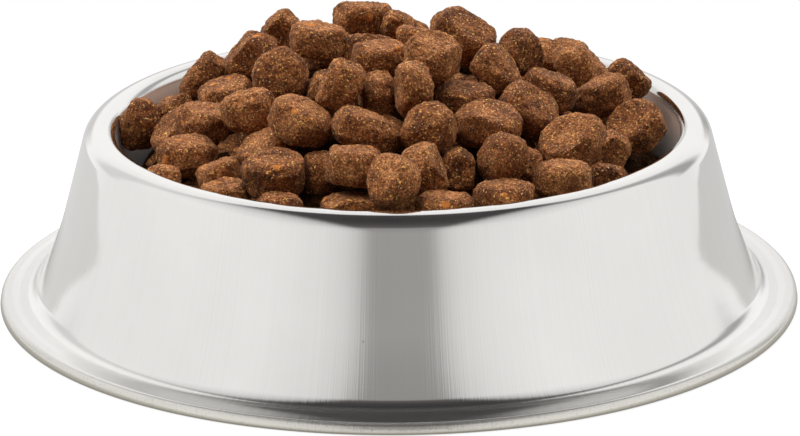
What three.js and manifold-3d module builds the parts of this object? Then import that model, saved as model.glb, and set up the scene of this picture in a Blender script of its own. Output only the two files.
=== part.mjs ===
// Steel pet bowl with a flared skirt, heaped with dry kibble.
// Millimetres, +Z up. The origin is on the floor, under the middle of the bowl.
import * as THREE from 'three';
import { mergeVertices } from 'three/addons/utils/BufferGeometryUtils.js';
import Module from 'manifold-3d';

const wasm = await Module();
wasm.setup();

// Bowl: one drawn sheet that runs from a rolled lip up the skirt, over the rim and down into the well.
const sheet = 0.9;
const rimHeight = 49.3;
const openingRadius = 77.2;
const rimInnerRound = 2.9;
const rimOuterRound = 4.6;
const skirtLean = 14.9;
const footFillet = 3;
const flangeWidth = 8.7;
const lipRound = 1.3;
const hemWidth = 3;
const wallLean = 10;
const wellCorner = 14;
const wellFloor = 6;
const bowlSides = 48;
const arcStep = 30;

// Kibble: thick rounded discs. Touching pieces keep the clearance between them.
const kibbleDiameter = 15.6;
const kibbleThickness = 10.8;
const clearance = 0.3;
const kibbleSides = 8;
const kibbleBands = 5;
const faceFlatness = 0.6;
const ovalSwell = 0.06;
const cornerSwell = 0.04;
const wedgeShare = 0.16;

// Heap: the kibbles' middles lie on a dome that rises from just under the rim.
const heapRise = 30;
const heapEdgeDrop = 7;
const bedDrop = 10;
const seatOverlap = 1;
const seatSides = 6;
const seatBands = 3;
const fillCandidates = 600;
const fillSpacing = 13.5;
const fillSink = 6;
const fillTilt = 30;
const fillVariation = 0.08;
const bedRings = 7;
const settleRounds = 40;
const settlePace = 0.5;
const trialAxisCount = 72;
const sideEase = 0.1;
const frontShare = 0.3;

// Front view that the heap was laid out in: angle in degrees, distance in opening radii, and pixels.
const viewElevation = 18.2;
const viewDistance = 15.6;
const viewAimBelowRim = 20.7;
const viewMiddle = { across: 398, down: 192 };
const openingPixels = 286;
const kibblePixels = 58;
const leastFacing = 0.05;

// Each kibble as that view shows it, in pixels: its middle, its long and short sides, then the lean of
// its long side in degrees, and how far it lies behind the heap's face, in pixels again.
const seenKibbles = [
  [140, 121, 53, 40, 93, -52],
  [173, 113, 42, 36, 20, 45],
  [204, 80, 56, 42, 58, 0],
  [208, 124, 62, 43, -4, 0],
  [186, 157, 58, 40, -5, 0],
  [221, 174, 46, 32, 20, 22],
  [227, 194, 47, 34, 0, 0],
  [162, 179, 36, 30, -20, 0],
  [253, 56, 58, 42, 52, 0],
  [283, 79, 60, 57, 80, 0],
  [283, 31, 42, 36, 30, 30],
  [304, 35, 52, 34, 5, 45],
  [319, 43, 58, 41, -8, 0],
  [250, 113, 54, 41, 8, 15],
  [303, 125, 62, 46, -24, 0],
  [268, 149, 63, 40, 20, 30],
  [275, 174, 63, 49, -4, 0],
  [281, 207, 42, 30, 0, 0],
  [322, 176, 50, 40, 85, 30],
  [366, 21, 62, 40, -3, 0],
  [400, 28, 36, 28, -20, 52],
  [383, 59, 57, 34, -5, -7],
  [415, 41, 38, 28, -10, 59],
  [432, 60, 56, 45, -10, -15],
  [464, 37, 66, 51, -35, 0],
  [520, 55, 50, 44, 85, 0],
  [496, 76, 58, 38, -52, 0],
  [342, 90, 58, 41, 65, 0],
  [320, 88, 42, 34, 75, 33],
  [376, 97, 50, 34, 88, 15],
  [406, 90, 55, 36, 87, 0],
  [446, 85, 48, 36, -15, 33],
  [470, 102, 58, 34, -4, 22],
  [532, 114, 62, 50, -42, 0],
  [490, 128, 67, 45, -5, 0],
  [431, 133, 54, 48, 20, 0],
  [365, 133, 65, 39, -25, 0],
  [355, 166, 57, 41, -4, 0],
  [392, 184, 54, 47, 62, -19],
  [426, 174, 54, 37, -68, -15],
  [457, 172, 46, 36, 78, 15],
  [494, 161, 55, 46, 70, 0],
  [505, 201, 61, 38, 3, 0],
  [443, 209, 54, 34, 2, 0],
  [358, 210, 64, 36, -8, 0],
  [525, 171, 44, 34, 70, 33],
  [550, 62, 42, 32, 80, 37],
  [579, 69, 60, 40, -50, -15],
  [551, 93, 55, 38, -22, 30],
  [626, 85, 46, 38, -45, 19],
  [603, 99, 54, 42, 18, 0],
  [636, 130, 59, 52, 40, 0],
  [655, 118, 44, 36, -60, 30],
  [570, 147, 68, 55, 28, 0],
  [609, 156, 44, 36, 60, 30],
  [562, 182, 55, 40, -3, 0],
  [606, 181, 38, 30, -10, 0],
  [570, 54, 40, 26, -10, 59],
];

const goldenAngle = Math.PI * (3 - Math.sqrt(5));
const radians = THREE.MathUtils.degToRad;
const setback = (round, lean) => round * Math.tan(radians(90 - lean) / 2);

// Radii that follow from the sizes above, from the opening outwards
const flangeTop = 2 * lipRound;
const crestRadius = openingRadius + setback(rimInnerRound, wallLean);
const skirtTopRadius = crestRadius + setback(rimOuterRound, skirtLean);
const footRadius = skirtTopRadius + (rimHeight - flangeTop) * Math.tan(radians(skirtLean));
const baseRadius = footRadius + setback(footFillet, skirtLean) + flangeWidth + lipRound;
const floorRadius = openingRadius - (rimHeight - wellFloor) * Math.tan(radians(wallLean));
const heapRadius = openingRadius - kibbleThickness / 2;

// Solids and geometry

function solidOf(geometry) {
  const bare = geometry.clone();
  bare.deleteAttribute('normal');
  bare.deleteAttribute('uv');
  const merged = mergeVertices(bare, 1e-4);
  const vertProperties = new Float32Array(merged.attributes.position.array);
  const triVerts = new Uint32Array(merged.index.array);
  return new wasm.Manifold(new wasm.Mesh({ numProp: 3, vertProperties, triVerts }));
}

function geometryOf(solid) {
  const mesh = solid.getMesh();
  const geometry = new THREE.BufferGeometry();
  geometry.setAttribute('position', new THREE.BufferAttribute(mesh.vertProperties, 3));
  geometry.setIndex(new THREE.BufferAttribute(mesh.triVerts, 1));
  return geometry;
}

// Drops slivers that a cut leaves behind, and closes any pocket inside.
function mainBody(solid) {
  const bodies = solid.decompose();
  return bodies.reduce((main, body) => (body.volume() > main.volume() ? body : main));
}

// Turns a profile of radius and height points about the Z axis.
function turned(profile, sides) {
  return new THREE.LatheGeometry(profile, sides).rotateX(Math.PI / 2);
}

const leftOf = (direction) => new THREE.Vector2(-direction.y, direction.x);

// A run of straight stretches with rounded corners, each given as radius, height and rounding.
// Every point keeps the normal on the left of the run.
function roundedRun(corners) {
  const places = corners.map(([radius, height]) => new THREE.Vector2(radius, height));
  const heading = (i) => places[i + 1].clone().sub(places[i]).normalize();
  const last = corners.length - 1;
  const run = [{ point: places[0], normal: leftOf(heading(0)) }];
  for (let i = 1; i < last; i += 1) {
    const round = corners[i][2];
    const into = heading(i - 1);
    const out = heading(i);
    const turn = Math.atan2(into.cross(out), into.dot(out));
    const side = Math.sign(turn) * round;
    const start = places[i].clone().addScaledVector(into, -round * Math.tan(Math.abs(turn) / 2));
    const centre = start.addScaledVector(leftOf(into), side);
    const steps = Math.ceil(Math.abs(turn) / radians(arcStep));
    for (let step = 0; step <= steps; step += 1) {
      const normal = leftOf(into).rotateAround(new THREE.Vector2(), (turn * step) / steps);
      run.push({ point: centre.clone().addScaledVector(normal, -side), normal });
    }
  }
  run.push({ point: places[last], normal: leftOf(heading(last - 1)) });
  return run.filter(({ point }, i) => i === 0 || point.distanceTo(run[i - 1].point) > 1e-6);
}

const moved = (run, distance) =>
  run.map(({ point, normal }) => point.clone().addScaledVector(normal, distance));

// Bowl

const wellCorners = [
  [openingRadius, rimHeight, rimInnerRound],
  [floorRadius, wellFloor, wellCorner],
  [0, wellFloor],
];

function bowlGeometry() {
  const face = roundedRun([
    [baseRadius - lipRound - hemWidth, 0],
    [baseRadius, 0, lipRound],
    [baseRadius, flangeTop, lipRound],
    [footRadius, flangeTop, footFillet],
    [skirtTopRadius, rimHeight, rimOuterRound],
    ...wellCorners,
  ]);
  return turned([...moved(face, 0).reverse(), ...moved(face, sheet)].reverse(), bowlSides);
}

// The room inside the well and above it, a clearance away from the steel.
function wellSpace() {
  const top = rimHeight + 4 * heapRise;
  const wall = moved(roundedRun([[crestRadius, rimHeight], ...wellCorners]), -clearance);
  const profile = [new THREE.Vector2(0, top), new THREE.Vector2(wall[0].x, top), ...wall];
  return solidOf(turned(profile.reverse(), bowlSides));
}

// Inside radius of the well at a height, taken on its straight wall.
function wallRadius(height) {
  const depth = Math.max(0, rimHeight - height);
  return openingRadius - depth * Math.tan(radians(wallLean));
}

// Kibble shape

// A repeatable number from -1 to 1 for piece i. Each stride gives a sequence of its own.
const vary = (i, stride) => 2 * ((i * stride) % 1) - 1;

function kibbleGeometry(kibble, grow = 0, sides = kibbleSides, bands = kibbleBands) {
  const profile = [];
  for (let band = 0; band <= bands; band += 1) {
    const angle = Math.PI * (band / bands - 0.5);
    const rise = Math.sign(angle) * Math.abs(Math.sin(angle)) ** faceFlatness;
    const reach = Math.abs(Math.cos(angle)) < 1e-9 ? 0 : Math.cos(angle) ** faceFlatness;
    profile.push(new THREE.Vector2(reach, rise));
  }
  const geometry = new THREE.LatheGeometry(profile, sides);
  const { oval, corner, wedge } = kibble.form;
  const at = geometry.attributes.position;
  for (let i = 0; i < at.count; i += 1) {
    const bearing = Math.atan2(at.getX(i), at.getZ(i));
    const reach = Math.hypot(at.getX(i), at.getZ(i));
    const swell = ovalSwell * Math.cos(2 * (bearing - oval)) + cornerSwell * Math.cos(3 * (bearing - corner));
    const radius = reach * (kibble.radius * (1 + swell) + grow);
    const thick = 1 + wedgeShare * reach * Math.cos(bearing - wedge);
    const height = at.getY(i) * (kibble.half * thick + grow);
    at.setXYZ(i, radius * Math.sin(bearing), height, radius * Math.cos(bearing));
  }
  const frame = new THREE.Matrix4().makeRotationFromQuaternion(kibble.turn);
  return geometry.applyMatrix4(frame.setPosition(kibble.centre));
}

// A kibble whose flat faces look along axis and whose long side lies towards side.
function makeKibble(i, centre, axis, side, diameter, thickness) {
  const flat = axis.clone().normalize();
  const across = side.clone().addScaledVector(flat, -side.dot(flat)).normalize();
  const basis = new THREE.Matrix4().makeBasis(across.clone().cross(flat).negate(), flat, across);
  return {
    centre,
    turn: new THREE.Quaternion().setFromRotationMatrix(basis),
    radius: diameter / 2,
    half: thickness / 2,
    form: {
      oval: 0.5 * vary(i, Math.sqrt(3)),
      corner: Math.PI * vary(i, Math.sqrt(5)),
      wedge: Math.PI * vary(i, Math.sqrt(7)),
    },
  };
}

// Heap

const domeTop = rimHeight - heapEdgeDrop + heapRise;
const domeCurve = heapRise / heapRadius ** 2;
const domeHeight = (x, y) => domeTop - domeCurve * (x * x + y * y);
const domeNormal = (x, y) => new THREE.Vector3(2 * domeCurve * x, 2 * domeCurve * y, 1).normalize();

const toEye = new THREE.Vector3(0, -Math.cos(radians(viewElevation)), Math.sin(radians(viewElevation)));
const viewRight = new THREE.Vector3(1, 0, 0);
const viewUp = toEye.clone().cross(viewRight);
const eye = new THREE.Vector3(0, 0, rimHeight - viewAimBelowRim)
  .addScaledVector(toEye, viewDistance * openingRadius);

// Where the sight line through a pixel meets the dome, or passes it closest.
function onDome(across, down, behind) {
  const sight = toEye.clone().multiplyScalar(-openingPixels * viewDistance)
    .addScaledVector(viewRight, across - viewMiddle.across)
    .addScaledVector(viewUp, viewMiddle.down - down)
    .normalize();
  const a = domeCurve * (sight.x ** 2 + sight.y ** 2);
  const b = 2 * domeCurve * (eye.x * sight.x + eye.y * sight.y) + sight.z;
  const c = domeCurve * (eye.x ** 2 + eye.y ** 2) + eye.z - domeTop;
  const distance = (-b - Math.sqrt(Math.max(0, b * b - 4 * a * c))) / (2 * a);
  return eye.clone().addScaledVector(sight, distance + (behind * kibbleDiameter) / kibblePixels);
}

function seenKibble([across, down, long, short, lean, behind], i) {
  const diameter = (kibbleDiameter * long) / kibblePixels;
  const height = (kibbleDiameter * short) / kibblePixels;
  const thickness = Math.min(kibbleThickness, height);
  const facing = (height ** 2 - thickness ** 2) / (diameter ** 2 - thickness ** 2);
  const towards = Math.sqrt(THREE.MathUtils.clamp(facing, leastFacing, 1));
  const side = viewRight.clone().applyAxisAngle(toEye, radians(lean));
  const rise = viewUp.clone().applyAxisAngle(toEye, radians(lean));
  const axis = toEye.clone().multiplyScalar(towards)
    .addScaledVector(rise, Math.sqrt(1 - towards ** 2));
  return makeKibble(i, onDome(across, down, behind), axis, side, diameter, thickness);
}

// Kibbles that fill the bare places of the dome, mostly at the back, on a sunflower spiral.
function fillKibbles(laid) {
  const fill = [];
  for (let i = 0; i < fillCandidates; i += 1) {
    const reach = heapRadius * Math.sqrt((i + 0.5) / fillCandidates);
    const x = reach * Math.cos(goldenAngle * i);
    const y = reach * Math.sin(goldenAngle * i);
    const normal = domeNormal(x, y);
    const centre = new THREE.Vector3(x, y, domeHeight(x, y)).addScaledVector(normal, -fillSink);
    if ([...laid, ...fill].some((other) => other.centre.distanceTo(centre) < fillSpacing)) continue;
    const side = new THREE.Vector3(Math.cos(i), Math.sin(i), 0);
    const axis = normal.applyAxisAngle(side, radians(fillTilt) * vary(i, Math.sqrt(11)));
    const diameter = kibbleDiameter * (1 + fillVariation * vary(i, Math.sqrt(13)));
    const thickness = kibbleThickness * (1 + fillVariation * vary(i, Math.SQRT2));
    fill.push(makeKibble(i, centre, axis, side, diameter, thickness));
  }
  return fill;
}

// A lower kibble under one that the bed doesn't reach.
function seatUnder(kibble, i) {
  const normal = domeNormal(kibble.centre.x, kibble.centre.y);
  const depth = reachAlong(kibble, normal.clone().negate());
  const centre = kibble.centre.clone().addScaledVector(normal, seatOverlap - depth - kibbleThickness / 2);
  return makeKibble(i, centre, normal, viewRight, kibbleDiameter, kibbleThickness);
}

function standsProud(kibble) {
  const normal = domeNormal(kibble.centre.x, kibble.centre.y);
  const foot = kibble.centre.clone().addScaledVector(normal, -reachAlong(kibble, normal.clone().negate()));
  return foot.z > domeHeight(foot.x, foot.y) - bedDrop - seatOverlap;
}

// Settling: pieces that press into each other move apart, and those past the wall move inwards.

function reachAlong(kibble, axis) {
  return kibble.corners.reduce((far, corner) => Math.max(far, corner.dot(axis)), -Infinity);
}

function cornersOf(kibble) {
  const at = kibbleGeometry({ ...kibble, centre: new THREE.Vector3() }).attributes.position;
  return Array.from({ length: at.count }, (_, i) => new THREE.Vector3().fromBufferAttribute(at, i));
}

// Directions spread evenly over a sphere
const trialAxes = Array.from({ length: trialAxisCount }, (_, i) => {
  const z = 1 - (2 * i + 1) / trialAxisCount;
  const bearing = i * goldenAngle;
  const ring = Math.sqrt(1 - z * z);
  return new THREE.Vector3(ring * Math.cos(bearing), ring * Math.sin(bearing), z);
});

// How easily a kibble gives way along an axis: freely along the view, hardly across it.
function easeAlong(axis) {
  const along = axis.dot(toEye) ** 2;
  return along + sideEase * (1 - along);
}

// The direction from a to b in which they part with the least effort, and how deep they press.
function pressing(a, b, effort) {
  const apart = b.centre.clone().sub(a.centre);
  const best = { axis: null, depth: Infinity, effort: Infinity };
  const tryAxis = (axis) => {
    const reach = reachAlong(a, axis) + reachAlong(b, axis.clone().negate());
    const depth = reach + clearance - apart.dot(axis);
    const needed = depth > 0 ? effort(depth, axis) : depth;
    if (needed < best.effort) Object.assign(best, { axis, depth, effort: needed });
  };
  tryAxis(apart.clone().normalize());
  for (const axis of trialAxes) {
    if (axis.dot(apart) > 0) tryAxis(axis);
  }
  for (const tilt of [0.2, 0.1, 0.05]) {
    const middle = best.axis;
    for (const axis of trialAxes.filter((_, i) => i % 6 === 0)) {
      tryAxis(middle.clone().addScaledVector(axis, tilt).normalize());
    }
  }
  return best;
}

function pressingPairs(kibbles, effort) {
  const pairs = [];
  kibbles.forEach((a, i) => kibbles.slice(i + 1).forEach((b) => {
    if (a.centre.distanceTo(b.centre) > a.span + b.span + clearance) return;
    const { axis, depth } = pressing(a, b, effort);
    if (depth > 0) pairs.push({ a, b, axis, depth });
  }));
  return pairs;
}

function keepInside(kibble) {
  const outwards = new THREE.Vector3(kibble.centre.x, kibble.centre.y, 0).normalize();
  let excess = 0;
  for (const corner of kibble.corners) {
    const spot = corner.clone().add(kibble.centre);
    excess = Math.max(excess, Math.hypot(spot.x, spot.y) + clearance - wallRadius(spot.z));
  }
  kibble.centre.addScaledVector(outwards, -excess);
}

// The piece behind gives way more than the one in front.
function settle(kibbles) {
  const effort = (depth, axis) => depth / Math.sqrt(easeAlong(axis));
  for (let round = 0; round < settleRounds; round += 1) {
    for (const { a, b, axis, depth } of pressingPairs(kibbles, effort)) {
      const along = toEye.clone().multiplyScalar(axis.dot(toEye));
      const move = axis.clone().sub(along).multiplyScalar(sideEase).add(along);
      move.multiplyScalar((settlePace * depth) / easeAlong(axis));
      const aShare = axis.dot(toEye) < 0 ? frontShare : 1 - frontShare;
      a.centre.addScaledVector(move, -aShare);
      b.centre.addScaledVector(move, 1 - aShare);
    }
    kibbles.forEach(keepInside);
  }
}

// What still presses together gets a flat on each side, with the clearance between them.
function cutFlats(solids, kibbles) {
  for (const { a, b, axis, depth } of pressingPairs(kibbles, (gap) => gap)) {
    const aSide = a.centre.clone().addScaledVector(axis, reachAlong(a, axis) - depth / 2);
    const bSide = aSide.clone().addScaledVector(axis, clearance);
    solids.set(a, solids.get(a).subtract(halfSpace(aSide, axis)));
    solids.set(b, solids.get(b).subtract(halfSpace(bSide, axis.clone().negate())));
  }
}

// A block, larger than any kibble, on the far side of a plane.
function halfSpace(point, axis) {
  const size = 4 * kibbleDiameter;
  const turn = new THREE.Quaternion().setFromUnitVectors(new THREE.Vector3(0, 0, 1), axis);
  const block = new THREE.BoxGeometry(size, size, size).translate(0, 0, size / 2);
  return solidOf(block.applyQuaternion(turn).translate(point.x, point.y, point.z));
}

// Bed: the lower kibbles and the ones at the back, fused, with a socket for every loose kibble.
function bedSolid(loose, fill, room) {
  const dome = [new THREE.Vector2(0, wellFloor), new THREE.Vector2(openingRadius, wellFloor)];
  for (let ring = 0; ring <= bedRings; ring += 1) {
    const radius = openingRadius * (1 - ring / bedRings);
    dome.push(new THREE.Vector2(radius, domeHeight(radius, 0) - bedDrop));
  }
  let bed = solidOf(turned(dome, bowlSides / 2));
  for (const seat of loose.filter(standsProud).map(seatUnder)) {
    bed = bed.add(solidOf(kibbleGeometry(seat, 0, seatSides, seatBands)));
  }
  for (const kibble of fill) bed = bed.add(solidOf(kibbleGeometry(kibble)));
  bed = bed.intersect(room);
  for (const kibble of loose) {
    bed = bed.subtract(solidOf(kibbleGeometry(kibble, clearance)));
  }
  return mainBody(bed);
}

// Assembly

const steel = new THREE.MeshStandardMaterial({ color: 0xd6d4cf, roughness: 0.25, metalness: 1 });
const crumb = new THREE.MeshStandardMaterial({ color: 0x8c5b36, roughness: 0.85, metalness: 0 });
const crumbDark = new THREE.MeshStandardMaterial({ color: 0x5e3a22, roughness: 0.9, metalness: 0 });

const group = new THREE.Group();

function addMesh(name, geometry, material) {
  const mesh = new THREE.Mesh(geometry, material);
  mesh.name = name;
  group.add(mesh);
}

const loose = seenKibbles.map(seenKibble);
for (const kibble of loose) {
  kibble.corners = cornersOf(kibble);
  kibble.span = Math.max(...kibble.corners.map((corner) => corner.length()));
}
settle(loose);
const room = wellSpace();
const solids = new Map(loose.map((kibble) => [kibble, solidOf(kibbleGeometry(kibble))]));
cutFlats(solids, loose);

addMesh('bowl', bowlGeometry(), steel);
addMesh('kibble_bed', geometryOf(bedSolid(loose, fillKibbles(loose), room)), crumbDark);
loose.forEach((kibble, i) => {
  const name = `kibble_${String(i + 1).padStart(2, '0')}`;
  addMesh(name, geometryOf(mainBody(solids.get(kibble).intersect(room))), crumb);
});

export default group;
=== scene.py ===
"""Steel pet bowl heaped with dry kibble, on a white studio floor. Units are metres, +Z up."""
import math

import bmesh
import bpy
import numpy as np
from mathutils import Matrix, Quaternion, Vector, noise


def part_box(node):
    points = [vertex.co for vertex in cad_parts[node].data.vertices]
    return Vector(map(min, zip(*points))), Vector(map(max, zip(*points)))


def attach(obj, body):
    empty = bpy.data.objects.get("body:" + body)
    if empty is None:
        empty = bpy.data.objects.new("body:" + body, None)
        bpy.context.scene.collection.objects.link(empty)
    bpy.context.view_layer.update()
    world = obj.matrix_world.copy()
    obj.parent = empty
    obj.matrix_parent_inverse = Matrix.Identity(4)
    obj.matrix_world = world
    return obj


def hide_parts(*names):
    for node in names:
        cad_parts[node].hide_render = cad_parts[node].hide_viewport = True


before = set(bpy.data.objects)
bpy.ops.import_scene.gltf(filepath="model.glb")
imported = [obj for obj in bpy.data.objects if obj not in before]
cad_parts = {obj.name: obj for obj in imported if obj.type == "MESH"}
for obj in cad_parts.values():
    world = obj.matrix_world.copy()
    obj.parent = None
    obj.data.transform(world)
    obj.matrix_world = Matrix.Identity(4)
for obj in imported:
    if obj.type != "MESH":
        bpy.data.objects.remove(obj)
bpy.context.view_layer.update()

MM = 0.001

# Bowl: the solid's sheet, with finer rounds and a flared foot
SHEET = 0.9 * MM
CREST_RADIUS = 78.8 * MM
RIM_INNER_ROUND = 3.2 * MM
RIM_OUTER_ROUND = 5.75 * MM
SKIRT_LEAN = math.radians(14.9)
FLARE_HEIGHT = 17 * MM
FLARE_LEAN = math.radians(25)
FLARE_ROUND = 80 * MM
FOOT_FILLET = 4.6 * MM
LIP_HEIGHT = 3.1 * MM
LIP_LEAN = math.radians(10)
LIP_TOP_ROUND = 1.8 * MM
LIP_FOOT_ROUND = 0.6 * MM
HEM_WIDTH = 4.3 * MM
WALL_LEAN = math.radians(10)
WELL_CORNER = 14 * MM
WELL_FLOOR = 6 * MM
BOWL_SIDES = 288
ARC_STEP = math.radians(6)
STRAIGHT_STEP = 4 * MM
SHEET_WAVE = 0.03 * MM
SHEET_WAVE_SIZE = 38 * MM
SCRATCH_RADIUS = 92 * MM

# Steel
STEEL_DULL = (0.87, 0.855, 0.835)
STEEL_BRIGHT = (0.92, 0.907, 0.885)
# painted reflection on the lip: darkest at its foot, as if it mirrored the floor's contact shadow, and
# dimmer and warmer above
LIP_FOOT_SHADOW_REFLECTION = (0.54, 0.52, 0.465)
LIP_REFLECTION_TINT = (0.87, 0.855, 0.81)
STEEL_MARK = (0.10, 0.09, 0.08)
BRUSH_DEPTH = 0.06 * MM

# Crumb
CRUMB_DARK = (0.110, 0.030, 0.007)
CRUMB_MIDDLE = (0.228, 0.073, 0.0185)
CRUMB_PALE = (0.385, 0.150, 0.049)
ORANGE_FLECK = (0.52, 0.16, 0.02)
GOLD_FLECK = (0.85, 0.43, 0.10)
TAN_FLECK = (0.90, 0.60, 0.30)
# painted shade in the grain's small pits
PIT_SHADE = (0.035, 0.010, 0.003)
SHEEN_TINT = (1.0, 0.75, 0.5)
CRUMB_DEPTH = 0.45 * MM
# painted shade: the fused lower kibbles are darkened to stand for the shade in the gaps
BED_PAINTED_SHADE = 0.10
BED_TONE = 0.3

# Kibble
KIBBLE_DIAMETER = 15.6 * MM
KIBBLE_THICKNESS = 10.8 * MM
CLEARANCE = 0.3 * MM
WELD_DISTANCE = 0.002 * MM
COARSE_SIDES = 8
COARSE_BANDS = 5
FACE_FLATNESS = 0.6
OVALNESS = 0.06
THREE_CORNERS = 0.04
WEDGE = 0.16
JOIN_ANGLE = math.radians(25)
JOIN_SHAPE = math.radians(60)
LAID_CUTS = 4
FILL_CUTS = 3
EDGE_SMOOTHING = 3
FLAT_SIDES = 4
FLAT_REACH = 0.87
FLAT_VARIATION = 0.06
FLAT_EDGE = 0.45 * MM
LUMPS = ((5.5 * MM, 0.30 * MM), (2.2 * MM, 0.25 * MM), (1.1 * MM, 0.28 * MM))
DISH_DEPTH = 0.7 * MM
DISH_START = 0.55
DISH_EASE = 0.3
DISH_REACH = 0.72

# Heap
OPENING_RADIUS = 77.2 * MM
HEAP_RISE = 30 * MM
HEAP_EDGE_DROP = 7 * MM
FILL_CANDIDATES = 600
FIRST_FILL_SEED = 100
FILL_SPACING = 13.5 * MM
FILL_SINK = 6 * MM
FRONT_EDGE = -10 * MM
FRONT_SINK = 5.5 * MM
UNDER_SINK = 13 * MM
UNDER_SPACING = 12.5 * MM
FILL_TILT = math.radians(30)
FILL_VARIATION = 0.08
GOLDEN_ANGLE = math.pi * (3 - math.sqrt(5))
CORE_DROP = 14 * MM
CORE_GAP = 4.5 * MM
CORE_LUMPS = 150
CORE_LUMP_SIZE = 6.4 * MM
CORE_LUMP_RISE = 5.5 * MM
CORE_LUMP_VARIATION = 0.12
CORE_TURN = 0.7
CORE_GRAIN = 0.2 * MM
CORE_GRAIN_SIZE = 1.3 * MM
CORE_RINGS = 90
CORE_SIDES = 200

# Stage
FLOOR_HALF_WIDTH = 0.36
FLOOR_FRONT = -0.3
FLOOR_BACK = 0.5
FLOOR_WHITE = (0.92, 0.92, 0.92)
WHITE = (1.0, 1.0, 1.0)

# Camera, fitted to the photograph in its pixels
CAMERA_DISTANCE = 1.2
CAMERA_ELEVATION = math.radians(18.16)
CAMERA_ROLL = math.radians(-0.47)
AIM_DROP = 20.7 * MM
PHOTO_WIDTH = 800
FOCAL_LENGTH = 4454
AIM_DOWN = math.atan(26.6 / FOCAL_LENGTH)
AIM_RIGHT = math.atan(1.8 / FOCAL_LENGTH)
SENSOR_WIDTH = 36

bowl_low, bowl_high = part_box("bowl")
RIM_HEIGHT = bowl_high[2]
BASE_RADIUS = (bowl_high[0] - bowl_low[0]) / 2
HEAP_RADIUS = OPENING_RADIUS - KIBBLE_THICKNESS / 2
DOME_TOP = RIM_HEIGHT - HEAP_EDGE_DROP + HEAP_RISE
DOME_CURVE = HEAP_RISE / HEAP_RADIUS ** 2


# Node helpers

def new_material(name):
    """A node material, its tree and its Principled shader."""
    material = bpy.data.materials.new(name)
    material.use_nodes = True
    tree = material.node_tree
    return material, tree, tree.nodes["Principled BSDF"]


def add_node(tree, kind, inputs=None, **settings):
    """A node with its settings and its unlinked input values."""
    node = tree.nodes.new(kind)
    for key, value in settings.items():
        setattr(node, key, value)
    for key, value in (inputs or {}).items():
        feed(tree, node.inputs[key], value)
    return node


def feed(tree, socket, value):
    """Links a socket to another one, or sets its value."""
    if isinstance(value, bpy.types.NodeSocket):
        tree.links.new(value, socket)
    elif isinstance(value, tuple) and len(value) == 3 and socket.type == "RGBA":
        socket.default_value = (*value, 1)
    else:
        socket.default_value = value


def calc(tree, operation, *values, clamp=False):
    """The output of a Math node."""
    node = add_node(tree, "ShaderNodeMath", dict(enumerate(values)), operation=operation, use_clamp=clamp)
    return node.outputs[0]


def span(tree, value, low, high, start=0.0, end=1.0):
    """Maps low..high to start..end in a straight run, held at both ends."""
    limits = {"Value": value, "From Min": low, "From Max": high, "To Min": start, "To Max": end}
    return add_node(tree, "ShaderNodeMapRange", limits).outputs["Result"]


def between(tree, value, start, full, fall, end):
    """1 from full to fall, easing down to 0 at start and end."""
    return calc(tree, "MULTIPLY", span(tree, value, end, fall), span(tree, value, start, full))


def grey(level):
    return (level, level, level)


def ramp(tree, factor, *stops):
    """A colour ramp of (position, colour) stops."""
    node = add_node(tree, "ShaderNodeValToRGB", {"Fac": factor})
    elements = node.color_ramp.elements
    while len(elements) < len(stops):
        elements.new(0.5)
    for element, (position, colour) in zip(elements, stops):
        element.position = position
        element.color = (*colour, 1)
    return node.outputs["Color"]


def cloud(tree, vector, scale, detail=2.0, roughness=0.5):
    """Soft noise from 0 to 1."""
    settings = {"Vector": vector, "Scale": scale, "Detail": detail, "Roughness": roughness}
    return add_node(tree, "ShaderNodeTexNoise", settings).outputs["Fac"]


def blend(tree, factor, a, b, kind="MIX"):
    """A colour between a and b."""
    node = add_node(tree, "ShaderNodeMix", data_type="RGBA", blend_type=kind)
    for index, value in ((0, factor), (6, a), (7, b)):
        feed(tree, node.inputs[index], value)
    return node.outputs[2]


def grains(tree, vector, scale, size, share):
    """Scattered round grains: 1 inside a grain, for the given share of cells."""
    cells = add_node(tree, "ShaderNodeTexVoronoi", {"Vector": vector, "Scale": scale})
    lot = add_node(tree, "ShaderNodeSeparateColor", {0: cells.outputs["Color"]}).outputs
    reach = calc(tree, "MULTIPLY_ADD", lot[1], 0.6 * size, 0.5 * size)
    inside = span(tree, calc(tree, "SUBTRACT", reach, cells.outputs["Distance"]), 0.0, 0.06)
    return calc(tree, "MULTIPLY", inside, calc(tree, "LESS_THAN", lot[0], share))


# Materials

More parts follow.
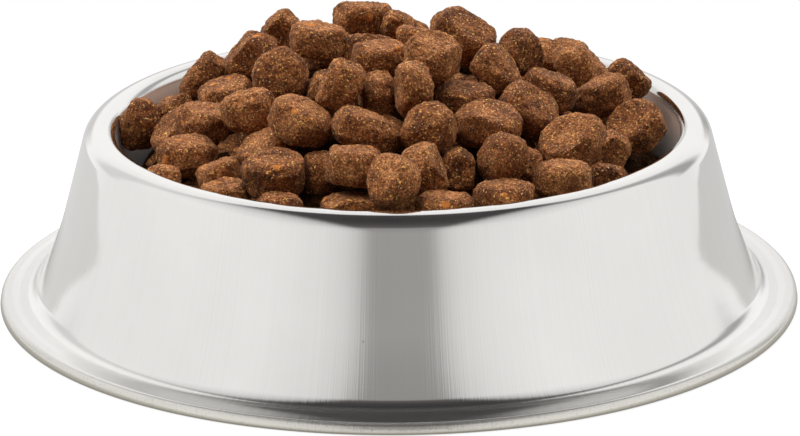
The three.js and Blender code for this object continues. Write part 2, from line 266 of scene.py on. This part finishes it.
def steel_material():
    """Bright drawn steel: brush lines up the wall and out over the flange, a lip with real stains and a
    painted dim reflection that is darkest at its foot, a duller well.
    """
    material, tree, shader = new_material("steel")
    place = add_node(tree, "ShaderNodeTexCoord").outputs["Object"]
    x, y, z = add_node(tree, "ShaderNodeSeparateXYZ", {0: place}).outputs
    flat = add_node(tree, "ShaderNodeVectorMath", {0: place, 1: (1, 1, 0)}, operation="MULTIPLY").outputs[0]
    radius = add_node(tree, "ShaderNodeVectorMath", {0: flat}, operation="LENGTH").outputs["Value"]
    around = add_node(tree, "ShaderNodeVectorMath", {0: flat}, operation="NORMALIZE").outputs[0]
    flange = between(tree, z, 1.6 * MM, 2.8 * MM, 3.2 * MM, 4.0 * MM)
    below_flange = span(tree, z, 3.1 * MM, 2.4 * MM)
    lip = calc(tree, "MULTIPLY", below_flange, span(tree, radius, 104 * MM, 105 * MM))
    below_rim = span(tree, z, 48 * MM, 46 * MM)
    well = calc(tree, "MULTIPLY", span(tree, radius, 80 * MM, 77 * MM), below_rim)
    fine = cloud(tree, around, 260.0, 2.0, 0.6)
    broad = cloud(tree, around, 70.0, 2.0)
    lines = calc(tree, "MULTIPLY_ADD", broad, 0.8, fine)
    strength = calc(tree, "MULTIPLY_ADD", flange, 0.30, span(tree, z, 40 * MM, 5 * MM, 0.05, 0.26))
    depth = calc(tree, "MULTIPLY", lines, strength)
    # scratches slant across the wall, in patches
    bearing = calc(tree, "ARCTAN2", x, calc(tree, "MULTIPLY", y, -1.0))
    along = calc(tree, "MULTIPLY", bearing, SCRATCH_RADIUS)
    sheet = add_node(tree, "ShaderNodeCombineXYZ", {0: along, 1: z}).outputs[0]
    slant = {"Vector": sheet, "Rotation": (0, 0, 0.75), "Scale": (60, 2200, 1)}
    slanted = add_node(tree, "ShaderNodeMapping", slant).outputs[0]
    scratch = span(tree, cloud(tree, slanted, 1.0, 1.0), 0.66, 0.74)
    patch = span(tree, cloud(tree, place, 34.0, 1.0), 0.5, 0.62)
    scratch = calc(tree, "MULTIPLY", scratch, patch)
    pitting = cloud(tree, place, 1500.0, 2.0)
    height = calc(tree, "MULTIPLY_ADD", scratch, 0.06, depth)
    height = calc(tree, "MULTIPLY_ADD", calc(tree, "MULTIPLY", pitting, lip), 0.15, height)
    bump = add_node(tree, "ShaderNodeBump", {"Strength": 1.0, "Distance": BRUSH_DEPTH, "Height": height})
    feed(tree, shader.inputs["Normal"], bump.outputs[0])
    smear = cloud(tree, place, 30.0, 3.0)
    rough = calc(tree, "MULTIPLY_ADD", smear, 0.05, 0.045)
    rough = calc(tree, "MULTIPLY_ADD", flange, 0.13, rough)
    rough = calc(tree, "MULTIPLY_ADD", lip, 0.06, rough)
    rough = calc(tree, "MULTIPLY_ADD", well, 0.36, rough)
    feed(tree, shader.inputs["Roughness"], rough)
    # the brushing blurs the flange sideways only
    feed(tree, shader.inputs["Anisotropic"], flange)
    tangent = add_node(tree, "ShaderNodeTangent", direction_type="RADIAL", axis="Z")
    feed(tree, shader.inputs["Tangent"], tangent.outputs[0])
    tint = ramp(tree, smear, (0.3, STEEL_DULL), (0.7, STEEL_BRIGHT))
    streak = ramp(tree, fine, (0.3, grey(0.92)), (0.7, WHITE))
    tint = blend(tree, 0.4, tint, streak, "MULTIPLY")
    # painted reflection: the lip is dimmed and warmed, darkest at its foot as if it mirrored the floor's
    # contact shadow
    lip_painted_reflection = ramp(tree, span(tree, z, 0.0, 1.6 * MM), (0.0, LIP_FOOT_SHADOW_REFLECTION), (1.0, LIP_REFLECTION_TINT))
    tint = blend(tree, lip, tint, blend(tree, 1.0, tint, lip_painted_reflection, "MULTIPLY"))
    speck = calc(tree, "MULTIPLY", grains(tree, place, 110.0, 0.05, 0.10), 0.45)
    stain = calc(tree, "MULTIPLY", calc(tree, "MULTIPLY", span(tree, pitting, 0.58, 0.68), lip), 0.15)
    marks = calc(tree, "MAXIMUM", speck, stain)
    feed(tree, shader.inputs["Base Color"], blend(tree, marks, tint, STEEL_MARK))
    shader.inputs["Metallic"].default_value = 1.0
    return material


def kibble_material(name, painted_shade):
    """Baked, grainy crumb with golden, tan and orange flecks and small pits, with painted shade in the
    pits.
    """
    material, tree, shader = new_material(name)
    place = add_node(tree, "ShaderNodeTexCoord").outputs["Object"]
    tone = add_node(tree, "ShaderNodeAttribute", attribute_name="tone").outputs["Fac"]
    patches = cloud(tree, place, 230.0, 3.0, 0.6)
    grain = cloud(tree, place, 1700.0, 3.0, 0.7)

    # painted shade dims every colour, the gloss and the sheen of a piece that lies in shade
    def in_painted_shade(colour):
        return tuple(painted_shade * part for part in colour)

    colour = ramp(
        tree, calc(tree, "MULTIPLY_ADD", tone, 0.16, calc(tree, "SUBTRACT", patches, 0.08)),
        (0.30, in_painted_shade(CRUMB_DARK)),
        (0.50, in_painted_shade(CRUMB_MIDDLE)),
        (0.72, in_painted_shade(CRUMB_PALE)),
    )
    rub = ramp(tree, grain, (0.34, (0.36, 0.34, 0.32)), (0.50, grey(0.86)), (0.66, (2.0, 2.05, 2.1)))
    colour = blend(tree, 1.0, colour, rub, "MULTIPLY")
    gold = span(tree, cloud(tree, place, 1300.0, 1.5), 0.64, 0.675)
    tan = span(tree, cloud(tree, place, 1900.0, 1.0), 0.68, 0.72)
    orange = grains(tree, place, 260.0, 0.36, 0.12)
    pits_and_pit_shade = span(tree, cloud(tree, place, 1050.0, 2.0), 0.41, 0.35)
    colour = blend(tree, calc(tree, "MULTIPLY", orange, 0.75), colour, in_painted_shade(ORANGE_FLECK))
    # painted shade in the pits, which are also pressed into the bump below
    colour = blend(tree, calc(tree, "MULTIPLY", pits_and_pit_shade, 0.5), colour, in_painted_shade(PIT_SHADE))
    colour = blend(tree, calc(tree, "MULTIPLY", gold, 0.8), colour, in_painted_shade(GOLD_FLECK))
    colour = blend(tree, calc(tree, "MULTIPLY", tan, 0.7), colour, in_painted_shade(TAN_FLECK))
    feed(tree, shader.inputs["Base Color"], colour)
    feed(tree, shader.inputs["Roughness"], span(tree, grain, 0.3, 0.7, 0.95, 0.65))
    shader.inputs["Specular IOR Level"].default_value = 0.18 * painted_shade
    shader.inputs["Sheen Weight"].default_value = 0.08 * painted_shade
    shader.inputs["Sheen Roughness"].default_value = 0.5
    shader.inputs["Sheen Tint"].default_value = (*SHEEN_TINT, 1)
    height = calc(tree, "MULTIPLY_ADD", pits_and_pit_shade, -0.7, grain)
    height = calc(tree, "MULTIPLY_ADD", gold, 0.45, height)
    bump = add_node(tree, "ShaderNodeBump", {"Strength": 1.0, "Distance": CRUMB_DEPTH, "Height": height})
    feed(tree, shader.inputs["Normal"], bump.outputs[0])
    return material


# Bowl

def new_mesh(name, verts, faces):
    mesh = bpy.data.meshes.new(name)
    mesh.from_pydata([tuple(v) for v in verts], [], faces)
    return mesh


def place_piece(name, mesh, material, replaced=()):
    """A smooth-shaded piece that rides on the object's only body."""
    mesh.polygons.foreach_set("use_smooth", [True] * len(mesh.polygons))
    mesh.materials.append(material)
    piece = bpy.data.objects.new(name, mesh)
    bpy.context.scene.collection.objects.link(piece)
    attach(piece, "root")
    if replaced:
        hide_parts(*replaced)
    return piece


def left_of(direction):
    return Vector((-direction.y, direction.x))


def go_straight(run, end, normal):
    """Goes straight to end in short steps, so that the shading stays even."""
    start = run[-1][0]
    steps = math.ceil((end - start).length / STRAIGHT_STEP - 0.001)
    for step in range(1, steps + 1):
        run.append((start.lerp(end, step / steps), normal))


def rounded_run(corners):
    """Points and left-hand normals along straight stretches with rounded corners."""
    places = [Vector(corner[:2]) for corner in corners]
    heading = [(b - a).normalized() for a, b in zip(places, places[1:])]
    run = [(places[0], left_of(heading[0]))]
    for i in range(1, len(corners) - 1):
        into, out = heading[i - 1], heading[i]
        turn = math.atan2(into.x * out.y - into.y * out.x, into.dot(out))
        side = math.copysign(corners[i][2], turn)
        start = places[i] - into * corners[i][2] * math.tan(abs(turn) / 2)
        centre = start + left_of(into) * side
        go_straight(run, start, left_of(into))
        steps = math.ceil(abs(turn) * max(1 / ARC_STEP, corners[i][2] / STRAIGHT_STEP))
        for step in range(1, steps + 1):
            normal = Matrix.Rotation(turn * step / steps, 2) @ left_of(into)
            run.append((centre - normal * side, normal))
    go_straight(run, places[-1], left_of(heading[-1]))
    return run


def setback(rounding, lean):
    return rounding * math.tan((math.pi / 2 - lean) / 2)


def bowl_profile():
    """The sheet's shown side from the hem to the axis, then its hidden side back to the hem, reversed."""
    well_top = CREST_RADIUS - setback(RIM_INNER_ROUND, WALL_LEAN)
    skirt_top = CREST_RADIUS + setback(RIM_OUTER_ROUND, SKIRT_LEAN)
    lip_top = BASE_RADIUS - LIP_HEIGHT * math.tan(LIP_LEAN)
    flare = skirt_top + (RIM_HEIGHT - FLARE_HEIGHT) * math.tan(SKIRT_LEAN)
    foot = flare + (FLARE_HEIGHT - LIP_HEIGHT) * math.tan(FLARE_LEAN)
    floor_radius = well_top - (RIM_HEIGHT - WELL_FLOOR) * math.tan(WALL_LEAN)
    run = rounded_run([
        (BASE_RADIUS - HEM_WIDTH, 0, 0),
        (BASE_RADIUS, 0, LIP_FOOT_ROUND),
        (lip_top, LIP_HEIGHT, LIP_TOP_ROUND),
        (foot, LIP_HEIGHT, FOOT_FILLET),
        (flare, FLARE_HEIGHT, FLARE_ROUND),
        (skirt_top, RIM_HEIGHT, RIM_OUTER_ROUND),
        (well_top, RIM_HEIGHT, RIM_INNER_ROUND),
        (floor_radius, WELL_FLOOR, WELL_CORNER),
        (0, WELL_FLOOR, 0),
    ])
    shown = [point for point, _ in reversed(run)]
    hidden = [point + normal * SHEET for point, normal in run]
    return shown + hidden


def make_bowl(material):
    profile = bowl_profile()
    rings = profile[1:-1]
    verts = [Vector((0, 0, profile[0].y))]
    for point in rings:
        for side in range(BOWL_SIDES):
            angle = 2 * math.pi * side / BOWL_SIDES
            out = Vector((math.cos(angle), math.sin(angle), 0))
            spot = out * point.x + Vector((0, 0, point.y))
            verts.append(spot + out * SHEET_WAVE * noise.noise(spot / SHEET_WAVE_SIZE))
    verts.append(Vector((0, 0, profile[-1].y)))
    mesh = new_mesh("bowl_shell", verts, closed_faces(len(rings), BOWL_SIDES))
    return place_piece("bowl_shell", mesh, material, ["bowl"])


def closed_faces(rings, sides):
    """Faces of a turned solid: a first point, rings of points, a last point."""
    last = 1 + rings * sides
    faces = []
    for side in range(sides):
        following = (side + 1) % sides
        faces.append((0, 1 + side, 1 + following))
        for ring in range(rings - 1):
            a = 1 + ring * sides
            b = a + sides
            faces.append((a + side, b + side, b + following, a + following))
        edge = 1 + (rings - 1) * sides
        faces.append((last, edge + following, edge + side))
    return faces


# Kibble

def vary(i, stride):
    """A repeatable number from -1 to 1 for piece i."""
    return 2 * ((i * stride) % 1) - 1


def coarse_from_node(node):
    """The CAD kibble with its split corners joined."""
    bm = bmesh.new()
    bm.from_mesh(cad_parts[node].data)
    bmesh.ops.remove_doubles(bm, verts=bm.verts, dist=WELD_DISTANCE)
    return bm


def coarse_kibble(i, centre, axis, side, diameter, thickness):
    """A thick rounded disc, a little oval, three-cornered and wedge-shaped."""
    oval = 0.5 * vary(i, math.sqrt(3))
    corner = math.pi * vary(i, math.sqrt(5))
    wedge = math.pi * vary(i, math.sqrt(7))
    flat = axis.normalized()
    across = (side - flat * side.dot(flat)).normalized()
    other = flat.cross(across)
    bm = bmesh.new()
    bm.verts.new(centre - flat * thickness / 2)
    for band in range(1, COARSE_BANDS):
        angle = math.pi * (band / COARSE_BANDS - 0.5)
        rise = math.copysign(abs(math.sin(angle)) ** FACE_FLATNESS, angle)
        reach = math.cos(angle) ** FACE_FLATNESS
        for s in range(COARSE_SIDES):
            bearing = 2 * math.pi * s / COARSE_SIDES
            swell = 1 + OVALNESS * math.cos(2 * (bearing - oval))
            swell += THREE_CORNERS * math.cos(3 * (bearing - corner))
            radius = reach * swell * diameter / 2
            height = rise * thickness / 2 * (1 + WEDGE * reach * math.cos(bearing - wedge))
            out = across * math.cos(bearing) + other * math.sin(bearing)
            bm.verts.new(centre + out * radius + flat * height)
    bm.verts.new(centre + flat * thickness / 2)
    bm.verts.ensure_lookup_table()
    for face in closed_faces(COARSE_BANDS - 1, COARSE_SIDES):
        bm.faces.new([bm.verts[v] for v in face])
    bmesh.ops.recalc_face_normals(bm, faces=bm.faces)
    return bm


def ease(bm, times):
    """Eases all edges of a mesh."""
    for _ in range(times):
        bmesh.ops.smooth_vert(
            bm, verts=bm.verts, factor=0.5, use_axis_x=True, use_axis_y=True, use_axis_z=True)


def refine(bm, seed, cuts):
    """Splits a coarse kibble finely, eases its edges, flattens its faces and keeps its volume."""
    volume = bm.calc_volume()
    middle = sum((v.co for v in bm.verts), Vector()) / len(bm.verts)
    bmesh.ops.join_triangles(
        bm, faces=bm.faces, angle_face_threshold=JOIN_ANGLE, angle_shape_threshold=JOIN_SHAPE)
    bmesh.ops.subdivide_edges(bm, edges=bm.edges, cuts=cuts, use_grid_fill=True)
    ease(bm, EDGE_SMOOTHING)
    bmesh.ops.subdivide_edges(bm, edges=bm.edges, cuts=1, use_grid_fill=True)
    ease(bm, 1)
    spots = np.array([vert.co - middle for vert in bm.verts])
    axis = np.linalg.eigh(spots.T @ spots)[1][:, 0]
    spots = press_flats(spots, axis, seed)
    for vert, spot in zip(bm.verts, spots):
        vert.co = middle + Vector(spot)
    grow = (volume / bm.calc_volume()) ** (1 / 3)
    for vert in bm.verts:
        vert.co = middle + (vert.co - middle) * grow
    return spots * grow, axis


def press_flats(spots, axis, seed):
    """Presses flat ends and a few flat sides into a kibble, with short rounded edges."""
    ways = [axis, -axis]
    for i in range(seed * FLAT_SIDES, (seed + 1) * FLAT_SIDES):
        rise = vary(i, math.sqrt(19))
        turn = math.pi * vary(i, math.sqrt(23))
        level = math.sqrt(1 - rise * rise)
        ways.append(np.array((level * math.cos(turn), level * math.sin(turn), rise)))
    for i, way in enumerate(ways):
        height = spots @ way
        limit = height.max() * (FLAT_REACH + FLAT_VARIATION * vary(seed + i, math.sqrt(29)))
        eased = np.clip(height - limit + FLAT_EDGE, 0, 2 * FLAT_EDGE)
        pressed = eased ** 2 / (4 * FLAT_EDGE) + np.clip(height - limit - FLAT_EDGE, 0, None)
        spots = spots - np.outer(pressed, way)
    return spots


def roughen(bm, spots, axis, seed):
    """Hollows the flat ends a little and pushes lumps and grain into the surface."""
    along = spots @ axis
    away = np.linalg.norm(spots - np.outer(along, axis), axis=1)
    end = np.clip((np.abs(along) / np.abs(along).max() - DISH_START) / DISH_EASE, 0, 1)
    inner = np.clip(1 - (away / away.max() / DISH_REACH) ** 2, 0, 1)
    dish = DISH_DEPTH * (0.5 + 0.5 * vary(seed, math.sqrt(2))) * end * inner
    offset = Vector((seed * 0.37, seed * 0.71, seed * 0.13))
    bm.normal_update()
    heights = []
    for vert, hollow in zip(bm.verts, dish):
        height = -hollow
        for size, amount in LUMPS:
            height += amount * noise.noise(vert.co / size + offset)
        heights.append(height)
    for vert, height in zip(bm.verts, heights):
        vert.co += vert.normal * float(height)


def kibble_piece(name, bm, seed, cuts, material, replaced=()):
    spots, axis = refine(bm, seed, cuts)
    roughen(bm, spots, axis, seed)
    mesh = bpy.data.meshes.new(name)
    bm.to_mesh(mesh)
    bm.free()
    set_tone(mesh, 0.5 + 0.5 * vary(seed, math.sqrt(17)))
    return place_piece(name, mesh, material, replaced)


def set_tone(mesh, tone):
    """How pale the piece is baked, from 0 to 1."""
    layer = mesh.attributes.new("tone", "FLOAT", "POINT")
    layer.data.foreach_set("value", [tone] * len(mesh.vertices))


# Heap

def dome_height(x, y):
    return DOME_TOP - DOME_CURVE * (x * x + y * y)


def dome_normal(x, y):
    return Vector((2 * DOME_CURVE * x, 2 * DOME_CURVE * y, 1)).normalized()


def fill_kibbles(laid, material):
    """Kibbles in the heap's bare places, mostly at the back, and a sunken layer that shows between them."""
    centres = list(laid)
    spots = [(i, FILL_SINK, FILL_SPACING) for i in range(FILL_CANDIDATES)]
    spots += [(i, UNDER_SINK, UNDER_SPACING) for i in range(FILL_CANDIDATES)]
    for seed, (i, sink, spacing) in enumerate(spots, FIRST_FILL_SEED):
        reach = HEAP_RADIUS * math.sqrt((i + 0.5) / FILL_CANDIDATES)
        x = reach * math.cos(GOLDEN_ANGLE * i)
        y = reach * math.sin(GOLDEN_ANGLE * i)
        normal = dome_normal(x, y)
        centre = Vector((x, y, dome_height(x, y))) - normal * sink
        if any((centre - other).length < spacing for other in centres):
            continue
        centres.append(centre)
        if y < FRONT_EDGE and sink == FILL_SINK:
            centre = centre - normal * FRONT_SINK
        side = Vector((math.cos(i), math.sin(i), 0))
        axis = Quaternion(side, FILL_TILT * vary(i, math.sqrt(11))) @ normal
        diameter = KIBBLE_DIAMETER * (1 + FILL_VARIATION * vary(i, math.sqrt(13)))
        thickness = KIBBLE_THICKNESS * (1 + FILL_VARIATION * vary(i, math.sqrt(2)))
        coarse = coarse_kibble(i, centre, axis, side, diameter, thickness)
        kibble_piece(f"fill_kibble_{len(centres) - len(laid):02d}", coarse, seed, FILL_CUTS, material)


def core_height(x, y, spots):
    """The mound under the kibbles, raised to a dome over each half-seen piece."""
    away = ((spots[:, 0] - x) ** 2 + (spots[:, 1] - y) ** 2) / spots[:, 2] ** 2
    rise = float(np.sqrt(np.clip(1 - away, 0, None)).max())
    grain = CORE_GRAIN * noise.noise(Vector((x, y, 0)) / CORE_GRAIN_SIZE)
    return dome_height(x, y) - CORE_DROP + CORE_LUMP_RISE * rise + grain


def make_core(material):
    """The fused lower kibbles: a mound whose top is lumpy with half-seen pieces."""
    spots = []
    for i in range(CORE_LUMPS):
        reach = HEAP_RADIUS * math.sqrt((i + 0.5) / CORE_LUMPS)
        angle = GOLDEN_ANGLE * i + CORE_TURN
        size = CORE_LUMP_SIZE * (1 + CORE_LUMP_VARIATION * vary(i, math.sqrt(2)))
        spots.append((reach * math.cos(angle), reach * math.sin(angle), size))
    spots = np.array(spots)
    edge = OPENING_RADIUS - CORE_GAP
    bottom = WELL_FLOOR + CLEARANCE
    verts = [Vector((0, 0, bottom))]
    # the foot and the side have set heights, and the top follows the lumps
    rings = [(edge - 18 * MM, bottom), (edge - 12 * MM, bottom + 2 * MM), (edge - 4 * MM, 20 * MM)]
    rings += [(edge * ring / CORE_RINGS, None) for ring in range(CORE_RINGS, 0, -1)]
    for radius, height in rings:
        for s in range(CORE_SIDES):
            angle = 2 * math.pi * s / CORE_SIDES
            x = radius * math.cos(angle)
            y = radius * math.sin(angle)
            z = core_height(x, y, spots) if height is None else height
            verts.append(Vector((x, y, z)))
    verts.append(Vector((0, 0, core_height(0, 0, spots))))
    faces = [tuple(reversed(face)) for face in closed_faces(len(rings), CORE_SIDES)]
    mesh = new_mesh("kibble_core", verts, faces)
    set_tone(mesh, BED_TONE)
    return place_piece("kibble_core", mesh, material, ["kibble_bed"])


# Stage

def make_floor():
    """White floor that keeps the bowl's soft shadow. Metal sees it greyer behind, and close to the bowl it
    sees a painted contact shadow.
    """
    corners = [
        (-FLOOR_HALF_WIDTH, FLOOR_FRONT, 0), (FLOOR_HALF_WIDTH, FLOOR_FRONT, 0),
        (FLOOR_HALF_WIDTH, FLOOR_BACK, 0), (-FLOOR_HALF_WIDTH, FLOOR_BACK, 0)]
    mesh = new_mesh("floor", corners, [(0, 1, 2, 3)])
    floor = bpy.data.objects.new("floor", mesh)
    bpy.context.scene.collection.objects.link(floor)
    material, tree, shader = new_material("floor_white")
    shader.inputs["Base Color"].default_value = (*FLOOR_WHITE, 1)
    shader.inputs["Roughness"].default_value = 0.9
    place = add_node(tree, "ShaderNodeTexCoord").outputs["Object"]
    x, y, _ = add_node(tree, "ShaderNodeSeparateXYZ", {0: place}).outputs
    radius = add_node(tree, "ShaderNodeVectorMath", {0: place}, operation="LENGTH").outputs["Value"]
    path = add_node(tree, "ShaderNodeLightPath").outputs
    mirrored = calc(tree, "ADD", path["Is Glossy Ray"], path["Is Transmission Ray"], clamp=True)
    behind = calc(tree, "MULTIPLY_ADD", calc(tree, "ABSOLUTE", x), -0.33, y)
    behind = calc(tree, "MULTIPLY", span(tree, behind, -0.04, 0.0), mirrored)
    near = span(tree, radius, 0.13, 0.23, 0.72, 1.0)
    share = calc(tree, "MULTIPLY_ADD", path["Is Camera Ray"], near, mirrored)
    far = ramp(tree, span(tree, x, -0.1, 0.1), (0.0, (0.715, 0.715, 0.71)), (1.0, (0.635, 0.635, 0.63)))
    white = blend(tree, behind, WHITE, far)
    # painted shadow: the glow that metal sees is darkened close to the bowl
    painted_shade = ramp(
        tree, span(tree, radius, 0.107, 0.147),
        (0.0, (0.46, 0.45, 0.42)), (0.45, (0.86, 0.86, 0.85)), (1.0, WHITE))
    painted_shade = blend(tree, mirrored, WHITE, painted_shade)
    white = blend(tree, 1.0, white, painted_shade, "MULTIPLY")
    glow = add_node(tree, "ShaderNodeEmission", {"Color": white, "Strength": 1.0})
    mix = add_node(tree, "ShaderNodeMixShader", {0: share, 1: shader.outputs[0], 2: glow.outputs[0]})
    feed(tree, tree.nodes["Material Output"].inputs["Surface"], mix.outputs[0])
    mesh.materials.append(material)


def make_world():
    """A white light tent. Metal sees its two bright sides, the dim gap between them and their dark tops."""
    world = bpy.data.worlds.new("tent")
    bpy.context.scene.world = world
    world.use_nodes = True
    tree = world.node_tree
    way = add_node(tree, "ShaderNodeTexCoord").outputs["Generated"]
    dx, dy, dz = add_node(tree, "ShaderNodeSeparateXYZ", {0: way}).outputs
    sideways = calc(tree, "ABSOLUTE", calc(tree, "SUBTRACT", dx, 0.012))
    # the gap between the side lights widens upwards, has soft edges and runs just over the top
    across = calc(tree, "SUBTRACT", sideways, span(tree, dz, 0.45, 0.95, 0.0, 0.15))
    gap = ramp(
        tree, across, (0.15, WHITE), (0.19, grey(0.88)), (0.25, grey(0.54)), (0.29, grey(0.41)),
        (0.33, grey(0.31)), (0.45, grey(0.16)), (0.70, grey(0.0)))
    gap = calc(tree, "MULTIPLY", gap, span(tree, dy, 0.48, 0.40))
    gap_light = ramp(
        tree, dz, (0.25, (0.35, 0.345, 0.34)), (0.61, (0.29, 0.285, 0.28)), (0.68, (0.13, 0.12, 0.122)),
        (0.82, (0.075, 0.069, 0.070)), (1.0, (0.036, 0.034, 0.035)))
    # a darker joint where the side lights meet the back, plainer on the right
    bearing = calc(tree, "ARCTAN2", sideways, calc(tree, "MULTIPLY", dy, -1.0))
    bearing = calc(tree, "DIVIDE", bearing, math.pi)
    joint = between(tree, bearing, 0.655, 0.69, 0.74, 0.79)
    joint = calc(tree, "MULTIPLY", joint, span(tree, dz, 0.03, 0.15))
    joint_light = ramp(tree, span(tree, dx, -0.3, 0.3), (0.0, grey(0.72)), (1.0, grey(0.40)))
    # the back is greyer near the floor, which draws the rim's far edge
    low_back = calc(tree, "MULTIPLY", span(tree, dz, 0.20, 0.12), span(tree, dy, 0.86, 0.94))
    tent = ramp(tree, span(tree, dy, 0.58, 0.85), (0.0, grey(0.88)), (1.0, WHITE))
    low_light = ramp(tree, span(tree, dx, 0.15, 0.3), (0.0, grey(0.66)), (1.0, grey(0.44)))
    tent = blend(tree, low_back, tent, low_light)
    tent = blend(tree, joint, tent, joint_light)
    tent = blend(tree, gap, tent, gap_light)
    path = add_node(tree, "ShaderNodeLightPath").outputs
    tent = blend(tree, path["Is Camera Ray"], tent, WHITE)
    seen = calc(tree, "ADD", path["Is Camera Ray"], path["Is Glossy Ray"])
    seen = calc(tree, "ADD", seen, path["Is Transmission Ray"], clamp=True)
    # what isn't mirrored is lit softly from above, more from the left and the back
    soft = ramp(
        tree, dz, (0.0, grey(0.02)), (0.25, grey(0.16)), (0.5, grey(1.1)), (0.75, grey(2.5)),
        (1.0, grey(2.6)))
    sides = ramp(tree, span(tree, dx, -0.7, 0.7), (0.0, grey(1.7)), (0.5, grey(0.8)), (1.0, grey(1.1)))
    back = ramp(tree, span(tree, dy, -0.8, 0.8), (0.0, grey(0.12)), (0.5, grey(0.9)), (1.0, grey(1.9)))
    soft = blend(tree, 1.0, soft, blend(tree, 1.0, sides, back, "MULTIPLY"), "MULTIPLY")
    background = tree.nodes["Background"]
    feed(tree, background.inputs["Color"], blend(tree, seen, soft, tent))
    background.inputs["Strength"].default_value = 1.0


def make_camera():
    """The photograph's view: a long lens, a little above the rim."""
    data = bpy.data.cameras.new("camera")
    data.sensor_width = SENSOR_WIDTH
    data.lens = FOCAL_LENGTH / PHOTO_WIDTH * SENSOR_WIDTH
    camera = bpy.data.objects.new("camera", data)
    bpy.context.scene.collection.objects.link(camera)
    aim = Vector((0, 0, RIM_HEIGHT - AIM_DROP))
    back = Vector((0, -math.cos(CAMERA_ELEVATION), math.sin(CAMERA_ELEVATION)))
    stand = Matrix.Translation(aim + back * CAMERA_DISTANCE)
    turn = Matrix.Rotation(-AIM_RIGHT, 4, "Z")
    tilt = Matrix.Rotation(math.pi / 2 - CAMERA_ELEVATION - AIM_DOWN, 4, "X")
    camera.matrix_world = stand @ turn @ tilt @ Matrix.Rotation(CAMERA_ROLL, 4, "Z")
    bpy.context.scene.camera = camera


# Assembly

bpy.context.scene.view_settings.view_transform = "Standard"
make_camera()
make_world()
make_floor()
make_bowl(steel_material())
crumb = kibble_material("kibble", 1.0)
centres = []
for number, node in enumerate(sorted(set(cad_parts) - {"bowl", "kibble_bed"}), 1):
    low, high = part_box(node)
    centres.append((Vector(low) + Vector(high)) / 2)
    kibble_piece(f"kibble_piece_{number:02d}", coarse_from_node(node), number, LAID_CUTS, crumb, [node])
fill_kibbles(centres, crumb)
# the fused lower kibbles are darkened as painted shade in the gaps between the pieces
make_core(kibble_material("kibble_bed", BED_PAINTED_SHADE))
